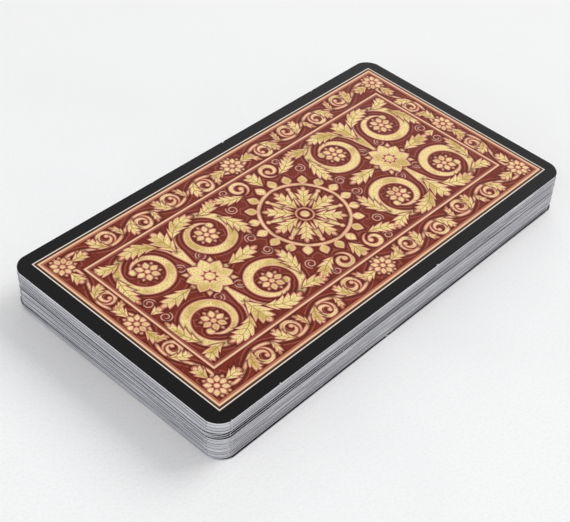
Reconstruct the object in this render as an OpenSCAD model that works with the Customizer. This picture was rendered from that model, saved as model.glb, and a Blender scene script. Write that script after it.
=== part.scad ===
// Tarot deck lying back-up on a table, cut and squared up by hand.
// Each card is a plate of its own with die-cut round corners.
// The deck was put together from packets, and they don't quite line up.
// X runs along the cards, Y across them and Z up, with the top card centred over the origin.

/* [Card] */
// Length of a card
card_l = 120.6; // [90:0.1:180]
// Width of a card
card_w = 63.5; // [45:0.1:110]
// Thickness of the card stock
card_t = 0.3; // [0.2:0.01:0.6]
// Radius of the die-cut corners
corner_r = 4; // [1:0.1:10]

/* [Stack] */
// Number of cards in the deck
card_count = 36; // [27:1:58]
// Air left between a card and the next one
air_gap = 0.01; // [0.005:0.001:0.05]
// Lean of the deck: how far its foot is from under its top, along X and Y
lean = [0.6, -0.2]; // [-3:0.01:3]
// How far a card lies out of line with its packet, at most, along X and Y
stray = [0.07, 0.02]; // [0:0.01:0.5]
// How far a card is turned in its packet, at most, in degrees
stray_turn = 0.04; // [0:0.01:0.5]

/* [Packets] */
// Last card of the packet near the foot, counted from the bottom of the deck
low_end = 6; // [2:1:10]
// Last card of the middle packet
middle_end = 20; // [11:1:22]
// Last card of the packet that is set back, under the top one
back_end = 26; // [23:1:26]
// Set-back of that packet's top card, along X and Y. The cards under it come forward step by step
back_shift = [0.6, 0.8]; // [-2:0.01:2]
// Turn of that card, in degrees. The cards under it turn back step by step
back_turn = -0.8; // [-2:0.01:2]
// Shift of the packet near the foot, along X and Y
low_shift = [-0.2, 0.2]; // [-2:0.01:2]
// Lean of that packet: how far its foot is from under its top, along X and Y
low_lean = [0.15, -0.3]; // [-2:0.01:2]
// Turn of that packet, in degrees
low_turn = 0.27; // [-2:0.01:2]
// How far the bottom card is out of line with that packet, along X and Y
bottom_shift = [0, -0.27]; // [-2:0.01:2]

/* [Hidden] */
$fn = 64;
pitch = card_t + air_gap;
edge_grey = [0.56, 0.56, 0.58];
print_red = [0.5, 0.22, 0.2];

// Steps of the scatter below: its values don't repeat within a deck
x_step = 0.618;
y_step = 0.755;
turn_step = 0.570;

// Names run from the bottom up
function two_digits(i) = str(i < 10 ? "0" : "", i);
function card_name(i) =
    i == 1 ? "bottom_card" :
    i == card_count ? "top_card" :
    str("card_", two_digits(i));

// Values from -1 to 1 that look random but are the same every time
function scatter(i, step) = 2 * (i * step - floor(i * step)) - 1;

// Share of its packet's set-back that card i has: all of it at the packet's top, least at its foot
function back_share(i) = (i - middle_end) / (back_end - middle_end);

// Share of its packet's lean that card i near the foot has
function low_share(i) = (low_end - i) / (low_end - 1);

// Share of the bottom card's own shift that card i has
function bottom_share(i) = i == 1 ? 1 : 0;

// Shift along X and Y and turn that card i has from its packet
function packet_place(i) =
    i > back_end ? [0, 0, 0] :
    i > middle_end ? back_share(i) * [back_shift[0], back_shift[1], back_turn] :
    i > low_end ? [0, 0, 0] :
    [
        low_shift[0] + low_share(i) * low_lean[0] + bottom_share(i) * bottom_shift[0],
        low_shift[1] + low_share(i) * low_lean[1] + bottom_share(i) * bottom_shift[1],
        low_turn
    ];

// Share of the lean that card i has
function leaning(i) = (card_count - i) / (card_count - 1);

// Place and turn of card i
function card_pos(i) = [
    packet_place(i)[0] + leaning(i) * lean[0] + stray[0] * scatter(i, x_step),
    packet_place(i)[1] + leaning(i) * lean[1] + stray[1] * scatter(i, y_step),
    (i - 1) * pitch
];
function card_turn(i) = packet_place(i)[2] + stray_turn * scatter(i, turn_step);

// Rectangle with round corners, centred
module card_outline() {
    square([card_l - 2 * corner_r, card_w], center = true);
    square([card_l, card_w - 2 * corner_r], center = true);
    for (side_x = [-1, 1], side_y = [-1, 1])
        translate([side_x * (card_l / 2 - corner_r), side_y * (card_w / 2 - corner_r)])
            circle(r = corner_r);
}

// Card number i, counted from the bottom of the deck
module card(i) {
    color(i == card_count ? print_red : edge_grey)
        translate(card_pos(i))
            rotate([0, 0, card_turn(i)])
                linear_extrude(height = card_t)
                    card_outline();
}

for (i = [1 : card_count])
    card(i);
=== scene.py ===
"""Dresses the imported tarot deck: printed cards, a white table, soft light and the photograph's view."""
import math

import bmesh
import bpy
import numpy as np
from mathutils import Matrix, Vector


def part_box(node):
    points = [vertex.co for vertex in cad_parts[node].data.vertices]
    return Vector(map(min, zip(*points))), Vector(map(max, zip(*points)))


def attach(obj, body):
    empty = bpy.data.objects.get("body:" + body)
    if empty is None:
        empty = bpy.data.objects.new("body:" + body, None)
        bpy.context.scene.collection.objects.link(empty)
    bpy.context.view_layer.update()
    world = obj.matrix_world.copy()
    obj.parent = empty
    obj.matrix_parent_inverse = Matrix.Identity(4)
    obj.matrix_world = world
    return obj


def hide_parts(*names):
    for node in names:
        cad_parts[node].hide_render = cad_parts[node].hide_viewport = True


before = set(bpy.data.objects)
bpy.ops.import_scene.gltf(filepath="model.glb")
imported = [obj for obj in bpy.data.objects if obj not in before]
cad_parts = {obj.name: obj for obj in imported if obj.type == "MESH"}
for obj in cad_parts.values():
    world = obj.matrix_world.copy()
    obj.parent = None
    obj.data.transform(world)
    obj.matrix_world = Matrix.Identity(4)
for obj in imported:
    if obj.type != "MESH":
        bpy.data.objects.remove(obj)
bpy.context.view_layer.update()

# Cards from the bottom of the deck to its top
NODES = sorted(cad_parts, key=lambda node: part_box(node)[0].z)
TOP_NUMBER = len(NODES)

MM = 0.001
TURN = 2 * math.pi

# Camera, from fitting the top card's four edges in the photograph: angles in degrees, and where the
# top card's centre lies from the camera, to the right, down and ahead
PHOTO_WIDTH = 570
SENSOR_WIDTH = 36
FOCAL_PIXELS = 1331.2
CAMERA_AZIMUTH = -51.79
CAMERA_ELEVATION = 42.42
CAMERA_ROLL = -6.51
TOP_CARD_FROM_CAMERA = Vector((4.49, -10.68, 306.92)) * MM

# Half the side of the table and the side of each lamp, in metres, and the strength of the light all round
TABLE_HALF = 6
LAMP_SIZE = 1.8
WORLD_LEVEL = 0.56

# Corners: the die's arc meets the sides at a slight kink, of this many degrees
CORNER_R = 4.5 * MM
CORNER_KINK = 11
CORNER_STEPS = 20
EDGE_BEVEL = 0.008 * MM

# Places of the back's frame lines, in millimetres in from the card's ends
BORDER = 3.45
WHITE_LINE = 3.69
BROWN_LINE = 4.26
GOLD_LINE = 4.74
ROSE_LINE = 5.25
RIM_LINE = 5.45

# How much nearer the frame lies to the long sides, and how far the print is off the card's middle
SIDE_GAIN = 0.2
PRINT_X, PRINT_Y = 0.3, 0.12

# Half the length and width of the field inside the inner frame, and half the widths of the line round it,
# of its bright middle and of its dark bed
FIELD_X, FIELD_Y = 49.5, 19.65
FRAME_HALF = 0.32
FRAME_CORE = 0.22
FRAME_DARK = 0.55

# Middle of the border band, from the card's middle, and the length of one wave of its vine
BAND_X, BAND_Y = 52.5, 23.45
BAND_SQUEEZE = 1.15
CELL = 9.82
WAVE = 1.9

# Middle of each group of spirals, from the card's middle
GROUP_X = 31.0

# Radius of the ring round the star on the face, and the face's frame, in from the card's edge
FACE_RING = 16.5
FACE_FRAME = 5.2

# Thin line that follows the gold shapes, out on the ground
ECHO = 0.78
ECHO_HALF = 0.15


def linear(*levels):
    """Colour from levels of 0 to 255 as a screen shows them."""
    return tuple((v / 255 / 12.92 if v <= 10 else ((v / 255 + 0.055) / 1.055) ** 2.4) for v in levels)


GOLD = linear(214, 183, 106)
GOLD_LIGHT = linear(254, 228, 158)
GOLD_DEEP = linear(160, 124, 58)
ORANGE = linear(240, 196, 160)
SALMON = linear(186, 112, 84)
PALE = linear(244, 194, 164)
ROSE = linear(156, 82, 68)
MAUVE = linear(206, 158, 142)
RED = linear(138, 50, 32)
MAROON = linear(82, 22, 8)
BLACK = linear(17, 16, 17)
WHITE = linear(250, 236, 226)
BROWN = linear(79, 53, 31)
PAPER = linear(188, 188, 193)
PAPER_LIGHT = linear(223, 223, 227)
PAPER_DARK = linear(155, 155, 161)
CREAM = linear(236, 226, 202)
CREAM_DARK = linear(222, 208, 178)
TABLE = linear(253, 253, 253)
TABLE_SHADE = linear(242, 242, 242)


# Numbers that vary over a surface

class Value:
    """A number that varies over a surface: arithmetic on it adds Math nodes to its material."""

    def __init__(self, socket):
        self.socket = socket

    def __add__(self, other):
        return maths("ADD", self, other)

    def __sub__(self, other):
        return maths("SUBTRACT", self, other)

    def __rsub__(self, other):
        return maths("SUBTRACT", other, self)

    def __mul__(self, other):
        return maths("MULTIPLY", self, other)

    def __truediv__(self, other):
        return maths("DIVIDE", self, other)

    def __neg__(self):
        return maths("MULTIPLY", self, -1)

    def __abs__(self):
        return maths("ABSOLUTE", self)

    __radd__ = __add__
    __rmul__ = __mul__


def put(tree, socket, value):
    """Links a value to a node's socket, or writes a plain number there."""
    if isinstance(value, Value):
        tree.links.new(value.socket, socket)
    else:
        socket.default_value = value


def maths(operation, *values):
    tree = next(v.socket.id_data for v in values if isinstance(v, Value))
    node = tree.nodes.new("ShaderNodeMath")
    node.operation = operation
    for socket, value in zip(node.inputs, values):
        put(tree, socket, value)
    return Value(node.outputs[0])


def least(a, b):
    return maths("MINIMUM", a, b)


def most(a, b):
    return maths("MAXIMUM", a, b)


def sine(a):
    return maths("SINE", a)


def cosine(a):
    return maths("COSINE", a)


def angle(x, y):
    return maths("ARCTAN2", y, x)


def length_of(x, y):
    return maths("SQRT", maths("MULTIPLY_ADD", x, x, y * y))


def nearest(a):
    return maths("ROUND", a)


def fraction(a):
    return maths("FRACT", a)


def is_less(a, b):
    return maths("LESS_THAN", a, b)


def held(a, low=0.0, high=1.0):
    return most(least(a, high), low)


def between(a, b, share):
    return a + (b - a) * share


def ramp(low, high, a, at_low=0.0, at_high=1.0):
    """One number below low and another above high, with a smooth change between."""
    tree = a.socket.id_data
    node = tree.nodes.new("ShaderNodeMapRange")
    node.interpolation_type = "SMOOTHSTEP"
    put(tree, node.inputs["Value"], a)
    for name, value in (("From Min", low), ("From Max", high), ("To Min", at_low), ("To Max", at_high)):
        node.inputs[name].default_value = value
    return Value(node.outputs["Result"])


# Shapes of the ornament, in millimetres: each is the distance to its outline, which is negative
# inside, and the distance to the lines engraved in it

FAR = 99.0


def local(x, y, cx, cy, degrees):
    """The same point seen from a place that faces the given way."""
    c, s = math.cos(math.radians(degrees)), math.sin(math.radians(degrees))
    u = maths("MULTIPLY_ADD", x, c, maths("MULTIPLY_ADD", y, s, -cx * c - cy * s))
    v = maths("MULTIPLY_ADD", y, c, maths("MULTIPLY_ADD", x, -s, cx * s - cy * c))
    return u, v


def bent(u, v, radius):
    """The same point where the line along u is bent round a circle."""
    hand = math.copysign(1, radius)
    r = abs(radius)
    down = r - v * hand
    return angle(down, u) * r, (r - length_of(u, down)) * hand


def wedge(x, y, count, shift=0.0):
    """The same point folded into one of count equal wedges, whose middle lies along u."""
    step = TURN / count
    a = angle(x, y) / step + shift
    a = (a - nearest(a)) * step
    r = length_of(x, y)
    return r * cosine(a), r * sine(a)


def leaf(u, v, length, half, lobes, cut=0.45, skew=0.9):
    """Toothed leaf along u, with a midrib and a vein to each tooth."""
    a = abs(v)
    t = held((u - a * skew) / length)
    wide = sine(maths("POWER", t, 0.75) * math.pi) * half
    f = fraction(t * lobes)
    tooth = least(f / 0.8, (1 - f) / 0.2)
    d = (a - wide * (tooth * cut + (1 - cut))) * 0.75
    d = most(d, abs(u - length / 2) - length / 2)
    to_vein = least(f, 1 - f) * (length / lobes * 0.7) - 0.09
    line = least(most(to_vein, a - wide * 0.75), a + t * 0.16 - 0.16)
    return d, most(line, d + 0.1)


def petal(u, v, length, half, full=0.9):
    """Pointed petal along u, fullest nearer its foot where full is under 1."""
    t = held(u / length)
    d = (abs(v) - sine(maths("POWER", t, full) * math.pi) * half) * 0.85
    return most(d, abs(u - length / 2) - length / 2), FAR


def scroll(x, y, cx, cy, r_out, r_in, start, turns, w_end, w_mid, hand):
    """Band that winds inwards from the angle start, widest halfway along."""
    u, v = local(x, y, cx, cy, start)
    r = length_of(u, v)
    a = fraction(angle(u, v * hand) / TURN)
    along = (r_out - r) * (turns / (r_out - r_in))
    p = a + held(nearest(along - a), 0, math.floor(turns))
    t = held(p / turns)
    w = sine(t * math.pi) * (w_mid - w_end) + w_end
    d = abs(r - (t * (r_in - r_out) + r_out)) - w
    return most(d, (p - turns) * (TURN * r_in)), FAR


def volute(x, y, cx, cy, r_out, r_in, start, turns, w_end, w_mid, hand, ball):
    """Scroll that ends in a ball."""
    a = math.radians(start) + hand * turns * TURN
    r = r_in - 0.4 * ball
    return [scroll(x, y, cx, cy, r_out, r_in, start, turns, w_end, w_mid, hand),
            disc(x, y, cx + r * math.cos(a), cy + r * math.sin(a), ball)]


def disc(x, y, cx, cy, r):
    return length_of(x - cx, y - cy) - r, FAR


def ring(x, y, r, half):
    return abs(length_of(x, y) - r) - half, FAR


def stem(x, y, y0, y1, w0, w1):
    """Upright stem on the axis, with its half widths at foot and head."""
    t = held((y - y0) / (y1 - y0))
    return length_of(x, y - y0 - t * (y1 - y0)) - (t * (w1 - w0) + w0), FAR


def joined(marks):
    d, line = marks[0]
    for other, other_line in marks[1:]:
        d = least(d, other)
        if other_line is not FAR:
            line = other_line if line is FAR else least(line, other_line)
    return d, line


def kept_in(mark, limit):
    """What is left of a shape where limit is negative."""
    d, line = mark
    return most(d, limit), line if line is FAR else most(line, limit)


# The design: each part has a layer of bands, a layer of leaves and flowers over it, and thin tendrils

def medallion(x, y):
    u, v = wedge(x, y, 8)
    u_gap, v_gap = wedge(x, y, 8, 0.5)
    u_rim, v_rim = wedge(x, y, 20, 0.5)
    bands = [
        ring(x, y, 10.7, 0.55),
        petal(u_gap - 2.0, v_gap, 7.6, 0.95, 1.3),
        disc(u_gap, v_gap, 9.2, 0, 0.7),
        petal(u_rim - 10.8, v_rim, 3.4, 1.35),
        *volute(x, y, 5.2, 16.4, 2.5, 1.0, 275, 1.2, 0.2, 0.75, -1, 0.8),
    ]
    leaves = [
        leaf(u - 2.2, v, 7.9, 2.3, 4, 0.5, 0.8),
        ring(x, y, 2.1, 0.3),
        disc(x, y, 0, 0, 1.25),
        leaf(*local(x, y, 0, 13.2, 90), 5.8, 2.4, 3, 0.45, 0.8),
        leaf(*bent(*local(x, y, 6.0, 14.0, 6), 11), 8.4, 2.1, 5),
    ]
    tendrils = [
        scroll(x, y, 11.6, 12.2, 1.5, 0.45, 60, 1.5, 0.12, 0.16, -1),
        scroll(x, y, 8.9, 17.6, 1.2, 0.4, 250, 1.4, 0.12, 0.16, 1),
    ]
    return joined(bands), joined(leaves), joined(tendrils)


def spirals(x, y):
    x = x - GROUP_X
    p = abs(x)
    u, v = wedge(x, y, 8, 0.5)
    u_gap, v_gap = wedge(x, y, 8)
    eye_x, eye_y = 9.0, 10.1
    u_eye, v_eye = wedge(p - eye_x, y - eye_y, 6)
    u_eye_gap, v_eye_gap = wedge(p - eye_x, y - eye_y, 6, 0.5)
    bands = [
        *volute(p, y, eye_x, eye_y, 7.9, 3.6, 186, 1.42, 0.25, 1.35, -1, 1.1),
        stem(p, y, 5, 10, 0.5, 1.5),
        petal(u_gap - 1.6, v_gap, 4.8, 1.0, 1.0),
        petal(u_eye_gap - 0.7, v_eye_gap, 2.7, 0.7, 1.1),
    ]
    leaves = [
        petal(u - 1.2, v, 4.5, 1.75),
        disc(p, y, 0, 0, 1.4),
        petal(u_eye - 0.7, v_eye, 2.4, 0.95),
        disc(p, y, eye_x, eye_y, 0.8),
        leaf(*bent(*local(p, y, 2.2, 14.0, 52), -8.2), 10.2, 2.6, 5),
        leaf(*bent(*local(p, y, 12.0, 16.2, -14), 6.5), 7.2, 2.1, 4),
        leaf(*bent(*local(p, y, 15.4, 12.8, -66), -18), 9.6, 2.2, 5),
        leaf(*local(p, y, 0, 10.4, 90), 8.5, 3.0, 4, 0.45, 0.8),
        leaf(p - 5.6, y, 9.4, 2.4, 4),
        leaf(17.7 - x, y, 3.4, 1.5, 2),
    ]
    tendrils = [
        scroll(p, y, 3.2, 5.9, 1.5, 0.5, 20, 1.5, 0.12, 0.16, 1),
        scroll(p, y, 15.6, 2.6, 1.5, 0.45, 200, 1.5, 0.12, 0.16, -1),
    ]
    return joined(bands), joined(leaves), joined(tendrils)


def vine(s, v):
    """Wavy stem along s: each cell holds a curl and two leaves, and every other cell is turned over."""
    n = nearest(s / CELL)
    u = s - n * CELL
    v = v * (1 - abs(n - nearest(n / 2) * 2) * 2)
    k = math.pi / CELL
    off = abs(v + cosine(u * k) * WAVE)
    slope = sine(u * k) * (WAVE * k)
    wavy = off / length_of(slope, 1) - 0.5, FAR
    curl = volute(u, v, 0.3, 0.75, 2.3, 1.05, 255, 1.3, 0.2, 0.75, -1, 0.65)
    leaves = [
        leaf(*bent(*local(u, v, 1.2, -1.9, 30), 4.6), 6.4, 1.75, 4),
        leaf(*bent(*local(u, v, -3.5, -1.2, 104), -4.6), 4.6, 1.15, 3),
    ]
    return wavy, joined(curl), joined(leaves)


def border(x, y):
    at_end = is_less(y - FIELD_Y, x - FIELD_X)
    s = between(x, y, at_end)
    v = between(y - BAND_Y, (x - BAND_X) * BAND_SQUEEZE, at_end)
    wavy, curl, leaves = vine(s, v)
    limit = most(s - (4.5 - at_end * 3) * CELL, CELL / 2 - s)
    a = x - is_less(BAND_X / 2, x) * BAND_X
    b = y - is_less(BAND_Y / 2, y) * BAND_Y
    u, w = wedge(a, b, 8)
    u_gap, w_gap = wedge(a, b, 8, 0.5)
    a, b = abs(a), abs(b)
    bands = [wavy, kept_in(curl, limit), petal(u_gap - 0.8, w_gap, 2.6, 0.8, 1.1)]
    over = [kept_in(leaves, limit), petal(u - 0.8, w, 2.2, 0.85), disc(u, w, 0, 0, 0.8),
            leaf(most(a, b) - 2.4, least(a, b), 4.6, 1.9, 3)]
    return joined(bands), joined(over)


# Colours

def painted(colour, other, share):
    """Colour socket with another colour laid over it, as strongly as share says."""
    tree = share.socket.id_data
    node = tree.nodes.new("ShaderNodeMix")
    node.data_type = "RGBA"
    put(tree, node.inputs[0], share)
    for socket, ink in ((node.inputs[6], colour), (node.inputs[7], other)):
        if isinstance(ink, tuple):
            socket.default_value = (*ink, 1)
        else:
            tree.links.new(ink, socket)
    return node.outputs[2]


# Half the width of a printed edge's soft rim, and how far in from their outline the gold shapes' pale
# rim and their gold begin
SOFT = 0.06
PALE_IN = 0.24
GOLD_IN = 0.46


def inside(d, edge=0.0, strength=1.0):
    """Strength where d is under edge and 0 beyond it, with a fine soft rim."""
    return ramp(edge - SOFT, edge + SOFT, d, strength, 0)


def gilt(colour, mark, gold):
    """Lays gold shapes over a colour: a soft shade, a dark outline, a rose rim, gold and its veins."""
    d, line = mark
    colour = painted(colour, MAROON, ramp(0.0, 0.9, d, 0.65, 0))
    colour = painted(colour, MAROON, inside(d, 0.16, 0.9))
    colour = painted(colour, SALMON, inside(d))
    colour = painted(colour, PALE, inside(d, -PALE_IN))
    colour = painted(colour, gold, inside(d, -GOLD_IN))
    return colour if line is FAR else painted(colour, GOLD_DEEP, inside(line, 0, 0.85))


def back_print(x, y, half_l, half_w, grain, cloud):
    """Colour of the printed back at a point, in millimetres from the card's middle."""
    x, y = abs(x - PRINT_X), abs(y - PRINT_Y)
    out = most(x - FIELD_X, y - FIELD_Y)
    from_edge = -most(x - half_l, y - half_w - SIDE_GAIN)
    middle = medallion(x, y)
    group = spirals(x, y)
    field_bands, field_leaves, tendrils = (joined([a, b]) for a, b in zip(middle, group))
    border_bands, border_leaves = border(x, y)
    in_field, in_band = out + FRAME_DARK, FRAME_DARK - out
    bands = joined([kept_in(field_bands, in_field), kept_in(border_bands, in_band)])
    leaves = joined([kept_in(field_leaves, in_field), kept_in(border_leaves, in_band)])
    gold = painted(GOLD, GOLD_LIGHT, ramp(0.35, 0.55, cloud))
    gold = painted(gold, GOLD_DEEP, ramp(0.46, 0.68, grain, 0, 0.65))
    around = between(field_bands[0], border_bands[0], is_less(0, out))
    colour = painted(RED, MAROON, ramp(0.35, 0.65, grain, 0, 0.7))
    colour = painted(colour, ROSE, inside(abs(around - ECHO), ECHO_HALF, 0.9))
    colour = painted(colour, MAUVE, inside(kept_in(tendrils, in_field)[0]))
    colour = gilt(gilt(colour, bands, gold), leaves, gold)
    colour = painted(colour, MAROON, inside(abs(out + 0.2), FRAME_DARK + 0.2, 0.9))
    colour = painted(colour, ROSE, inside(abs(out + FRAME_DARK), 0.25))
    colour = painted(colour, SALMON, inside(abs(out), FRAME_HALF))
    colour = painted(colour, ORANGE, inside(abs(out), FRAME_CORE))
    for line, ink in ((RIM_LINE, MAROON), (ROSE_LINE, SALMON), (GOLD_LINE, ORANGE), (BROWN_LINE, BROWN),
                      (WHITE_LINE, WHITE), (BORDER, BLACK)):
        colour = painted(colour, ink, inside(from_edge, line))
    return colour


def new_material(name, specular):
    """Material with one plain shader, and the surface's own place on the piece, in millimetres."""
    mat = bpy.data.materials.new(name)
    mat.use_nodes = True
    tree = mat.node_tree
    bsdf = tree.nodes["Principled BSDF"]
    bsdf.inputs["Specular IOR Level"].default_value = specular
    where = tree.nodes.new("ShaderNodeTexCoord").outputs["Object"]
    apart = tree.nodes.new("ShaderNodeSeparateXYZ")
    tree.links.new(where, apart.inputs[0])
    x, y, z = (Value(socket) * (1 / MM) for socket in apart.outputs)
    return mat, bsdf, (x, y, z)


def noise(place, per_mm, detail=2.0):
    """Cloudy number from about 0.3 to 0.7, with its grain as fine as per_mm says along each axis."""
    tree = place[0].socket.id_data
    joint = tree.nodes.new("ShaderNodeCombineXYZ")
    for socket, along, fine in zip(joint.inputs, place, per_mm):
        put(tree, socket, along * fine)
    node = tree.nodes.new("ShaderNodeTexNoise")
    node.inputs["Scale"].default_value = 1
    node.inputs["Detail"].default_value = detail
    tree.links.new(joint.outputs[0], node.inputs["Vector"])
    return Value(node.outputs["Fac"])


def card_number(mat):
    """Number of the card that wears the material, counted from the bottom of the deck."""
    return Value(mat.node_tree.nodes.new("ShaderNodeObjectInfo").outputs["Object Index"])


def finished(mat, bsdf, colour, rough, height, distance):
    """Material with its colour, roughness and fine relief linked up."""
    tree = mat.node_tree
    tree.links.new(colour, bsdf.inputs["Base Color"])
    put(tree, bsdf.inputs["Roughness"], rough)
    bump = tree.nodes.new("ShaderNodeBump")
    bump.inputs["Distance"].default_value = distance
    put(tree, bump.inputs["Height"], height)
    tree.links.new(bump.outputs["Normal"], bsdf.inputs["Normal"])
    return mat


def back_material(half_l, half_w):
    """Satin print, with the ink chipped here and there along the card's edge."""
    mat, bsdf, (x, y, z) = new_material("printed_back", 0.13)
    grain = noise((x, y, z), (3, 3, 0))
    cloud = noise((x, y, z), (0.15, 0.15, 0))
    colour = back_print(x, y, half_l, half_w, grain, cloud)
    wear = noise((x, y, card_number(mat)), (0.9, 0.9, 7.3), 1)
    from_edge = -most(abs(x) - half_l, abs(y) - half_w)
    colour = painted(colour, PAPER, inside(from_edge - ramp(0.72, 0.8, wear, -0.1, 0.35), 0, 0.9))
    return finished(mat, bsdf, colour, 0.24 + grain * 0.14, grain, 0.004 * MM)


def edge_material(half_l, half_w):
    """Cut edge of grey stock, with a tone for each card and fine streaks, a painted highlight on the top
    card's edge, and painted light at each corner: the arc lighter, a painted highlight line beside the
    die's kink and a painted shade line just inside it.
    """
    mat, bsdf, (x, y, z) = new_material("card_edge", 0.3)
    number = card_number(mat)
    kink = math.radians(CORNER_KINK)
    cut = CORNER_R / MM * (math.cos(kink) - math.sin(kink))
    tone = noise((x, y, number), (0.008, 0.012, 3.7), 1)
    streak = noise((x, y, number), (0.06, 0.06, 9.1), 2)
    fibre = noise((x, y, z + number), (3, 3, 6))
    to_corner = most(half_l - abs(x), half_w - abs(y)) - cut + tone * 1.5 - 0.75
    colour = painted(PAPER_DARK, PAPER, ramp(0.32, 0.55, tone))
    colour = painted(colour, PAPER_LIGHT, ramp(0.5, 0.68, streak, 0, 0.9))
    # Painted highlight: the top card's edge, which no card shades from above, is painted lighter
    colour = painted(colour, TABLE, is_less(TOP_NUMBER - 0.5, number) * 0.7)
    # Painted light at each corner: the arc is painted lighter, with a painted highlight line on the side
    # next to the kink and a painted shade line just inside the arc
    colour = painted(colour, PAPER_LIGHT, ramp(-0.2, 0.0, to_corner, 0.4, 0))
    colour = painted(colour, PAPER_LIGHT, inside(abs(to_corner - 0.2), 0.12, 0.7))
    colour = painted(colour, PAPER_DARK, inside(abs(to_corner + 0.12), 0.12, 0.7))
    colour = painted(colour, PAPER_DARK, ramp(0.5, 0.7, fibre, 0, 0.2))
    return finished(mat, bsdf, colour, 0.5 + fibre * 0.2, fibre, 0.01 * MM)


def face_material(half_l, half_w):
    """Cream face with a ruled frame and an eight-pointed star: a plain stand-in for a card's picture."""
    mat, bsdf, (x, y, z) = new_material("card_face", 0.25)
    grain = noise((x, y, z), (3, 3, 0))
    cloud = noise((x, y, z), (0.06, 0.06, 0))
    from_edge = -most(abs(x) - half_l, abs(y) - half_w)
    colour = painted(CREAM, CREAM_DARK, ramp(0.35, 0.65, cloud))
    colour = painted(colour, CREAM_DARK, ramp(0.5, 0.7, grain, 0, 0.4))
    u, v = wedge(x, y, 8)
    u_gap, v_gap = wedge(x, y, 8, 0.5)
    rays = joined([
        petal(u_gap - 3, v_gap, 11, 1.3, 0.7),
        ring(x, y, FACE_RING, 0.35),
        disc(u_gap, v_gap, FACE_RING, 0, 0.9),
    ])
    colour = painted(colour, SALMON, inside(rays[0]))
    star = joined([petal(u - 2.4, v, 13, 2.6, 0.6), disc(x, y, 0, 0, 1.7)])
    colour = painted(colour, MAROON, inside(star[0], 0.25))
    colour = painted(colour, GOLD, inside(star[0]))
    for off, half, ink in ((1.2, 0.12, SALMON), (0, 0.4, MAROON), (0, 0.2, GOLD), (-1.0, 0.12, SALMON)):
        colour = painted(colour, ink, inside(abs(from_edge - FACE_FRAME - off), half))
    return finished(mat, bsdf, colour, 0.36 + grain * 0.16, grain, 0.004 * MM)


def table_material():
    """White table top with a faint grain, painted lighter towards the near side and darker towards the far
    side as painted shade.
    """
    mat, bsdf, place = new_material("table_white", 0.2)
    cloud = noise(place, (0.02, 0.02, 0))
    grain = noise(place, (1.5, 1.5, 0), 3)
    # Painted shade: the table is darker towards the far side and lighter towards the near side
    colour = painted(TABLE, TABLE_SHADE, ramp(-150, 150, place[0] + place[1], 0, 0.6))
    colour = painted(colour, TABLE_SHADE, ramp(0.4, 0.7, grain, 0, 0.5))
    colour = painted(colour, TABLE_SHADE, ramp(0.4, 0.7, cloud, 0, 0.4))
    return finished(mat, bsdf, colour, 0.7 + grain * 0.2, grain, 0.02 * MM)


# Cards

def card_place(node):
    """Matrix from a card's own frame, at the middle of its underside, to the row frame."""
    low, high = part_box(node)
    flat = np.array([v.co[:2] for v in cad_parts[node].data.vertices])
    flat -= flat.mean(0)
    (xx, xy), (_, yy) = flat.T @ flat
    turn = 0.5 * math.atan2(2 * xy, xx - yy)
    middle = (low + high) / 2
    return Matrix.Translation((middle.x, middle.y, low.z)) @ Matrix.Rotation(turn, 4, "Z")


def card_size(node):
    """Length, width and thickness of a card, measured square to its own sides."""
    straight = card_place(node).inverted()
    places = np.array([straight @ v.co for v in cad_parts[node].data.vertices])
    return places.max(0) - places.min(0)


def card_outline(length, width, inset):
    """Points round a card, counterclockwise from the end of a short side."""
    set_in = CORNER_R * math.cos(math.radians(CORNER_KINK))
    r = CORNER_R - inset
    points = []
    for quarter, (sx, sy) in enumerate(((1, 1), (-1, 1), (-1, -1), (1, -1))):
        cx, cy = sx * (length / 2 - set_in), sy * (width / 2 - set_in)
        for k in range(CORNER_STEPS + 1):
            a = math.radians(90 * quarter + CORNER_KINK + (90 - 2 * CORNER_KINK) * k / CORNER_STEPS)
            points.append((cx + r * math.cos(a), cy + r * math.sin(a)))
    return points


def card_mesh(name, length, width, thick):
    """A card with burnished edges, lying on its face. Slot 0 is the cut edge, 1 the back, 2 the face."""
    bm = bmesh.new()
    rings = []
    for inset, z in ((EDGE_BEVEL, 0), (0, EDGE_BEVEL), (0, thick - EDGE_BEVEL), (EDGE_BEVEL, thick)):
        rings.append([bm.verts.new((x, y, z)) for x, y in card_outline(length, width, inset)])
    count = len(rings[0])
    for lower, upper in zip(rings, rings[1:]):
        for k in range(count):
            n = (k + 1) % count
            bm.faces.new((lower[k], lower[n], upper[n], upper[k])).material_index = 0
    bm.faces.new(rings[-1]).material_index = 1
    bm.faces.new(reversed(rings[0])).material_index = 2
    mesh = bpy.data.meshes.new(name)
    bm.to_mesh(mesh)
    bm.free()
    return mesh


length, width, thick = card_size("top_card")
half_l, half_w = length / 2 / MM, width / 2 / MM
mesh = card_mesh("card", length, width, thick)
for make_material in (edge_material, back_material, face_material):
    mesh.materials.append(make_material(half_l, half_w))
for number in range(TOP_NUMBER, 0, -1):
    node = NODES[number - 1]
    card = bpy.data.objects.new(f"{node}_printed", mesh)
    bpy.context.scene.collection.objects.link(card)
    card.pass_index = number
    card.matrix_world = card_place(node)
    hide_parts(node)
    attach(card, node)


# Table, light and camera

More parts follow.
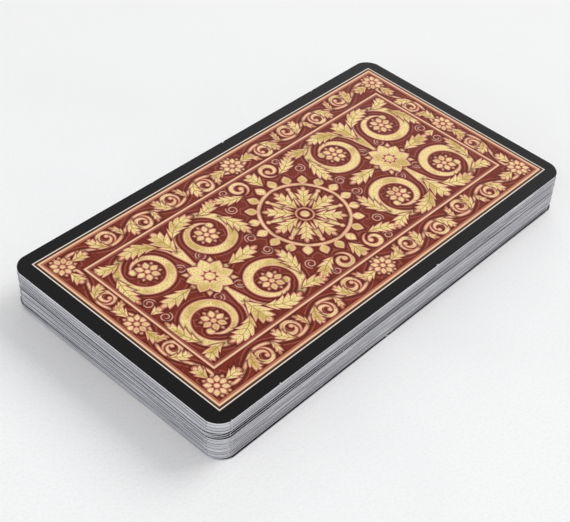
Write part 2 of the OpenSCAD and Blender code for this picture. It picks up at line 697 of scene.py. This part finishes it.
def add_table():
    floor = bpy.data.meshes.new("floor")
    corners = [(sx * TABLE_HALF, sy * TABLE_HALF, 0) for sx, sy in ((-1, -1), (1, -1), (1, 1), (-1, 1))]
    floor.from_pydata(corners, [], [(0, 1, 2, 3)])
    floor.materials.append(table_material())
    table = bpy.data.objects.new("table", floor)
    bpy.context.scene.collection.objects.link(table)


def add_world():
    world = bpy.data.worlds.new("studio")
    bpy.context.scene.world = world
    world.use_nodes = True
    background = world.node_tree.nodes["Background"]
    background.inputs["Color"].default_value = (1, 1, 1, 1)
    background.inputs["Strength"].default_value = WORLD_LEVEL


def area_light(name, place, watts, tint=(1, 1, 1)):
    """Square lamp that faces the deck."""
    data = bpy.data.lights.new(name, "AREA")
    data.color = tint
    data.size = LAMP_SIZE
    data.energy = watts
    lamp = bpy.data.objects.new(name, data)
    lamp.location = place
    lamp.rotation_euler = (-Vector(place)).to_track_quat("-Z", "Y").to_euler()
    bpy.context.scene.collection.objects.link(lamp)


def add_camera():
    """Camera that sees the top card where the photograph has it."""
    a, e, roll = (math.radians(v) for v in (CAMERA_AZIMUTH, CAMERA_ELEVATION, CAMERA_ROLL))
    back_way = Vector((math.sin(a) * math.cos(e), -math.cos(a) * math.cos(e), math.sin(e)))
    level = (-back_way).cross(Vector((0, 0, 1))).normalized()
    plumb = (-back_way).cross(level)
    right = level * math.cos(roll) + plumb * math.sin(roll)
    down = plumb * math.cos(roll) - level * math.sin(roll)
    low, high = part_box("top_card")
    top = Vector(((low.x + high.x) / 2, (low.y + high.y) / 2, high.z))
    t = TOP_CARD_FROM_CAMERA
    data = bpy.data.cameras.new("camera")
    data.sensor_width = SENSOR_WIDTH
    data.lens = SENSOR_WIDTH * FOCAL_PIXELS / PHOTO_WIDTH
    data.clip_start = 0.01
    camera = bpy.data.objects.new("camera", data)
    turn = Matrix((right, -down, back_way)).transposed().to_4x4()
    camera.matrix_world = Matrix.Translation(top - right * t.x - down * t.y + back_way * t.z) @ turn
    bpy.context.scene.collection.objects.link(camera)
    bpy.context.scene.camera = camera


add_table()
add_world()
area_light("key", (2.1, -0.4, 1.9), 38)
area_light("fill", (-2.0, -0.2, 1.2), 11.2, (0.88, 0.92, 1.0))
area_light("back_panel", (1.9, 1.6, 0.8), 12)
add_camera()
bpy.context.scene.view_settings.view_transform = "Standard"
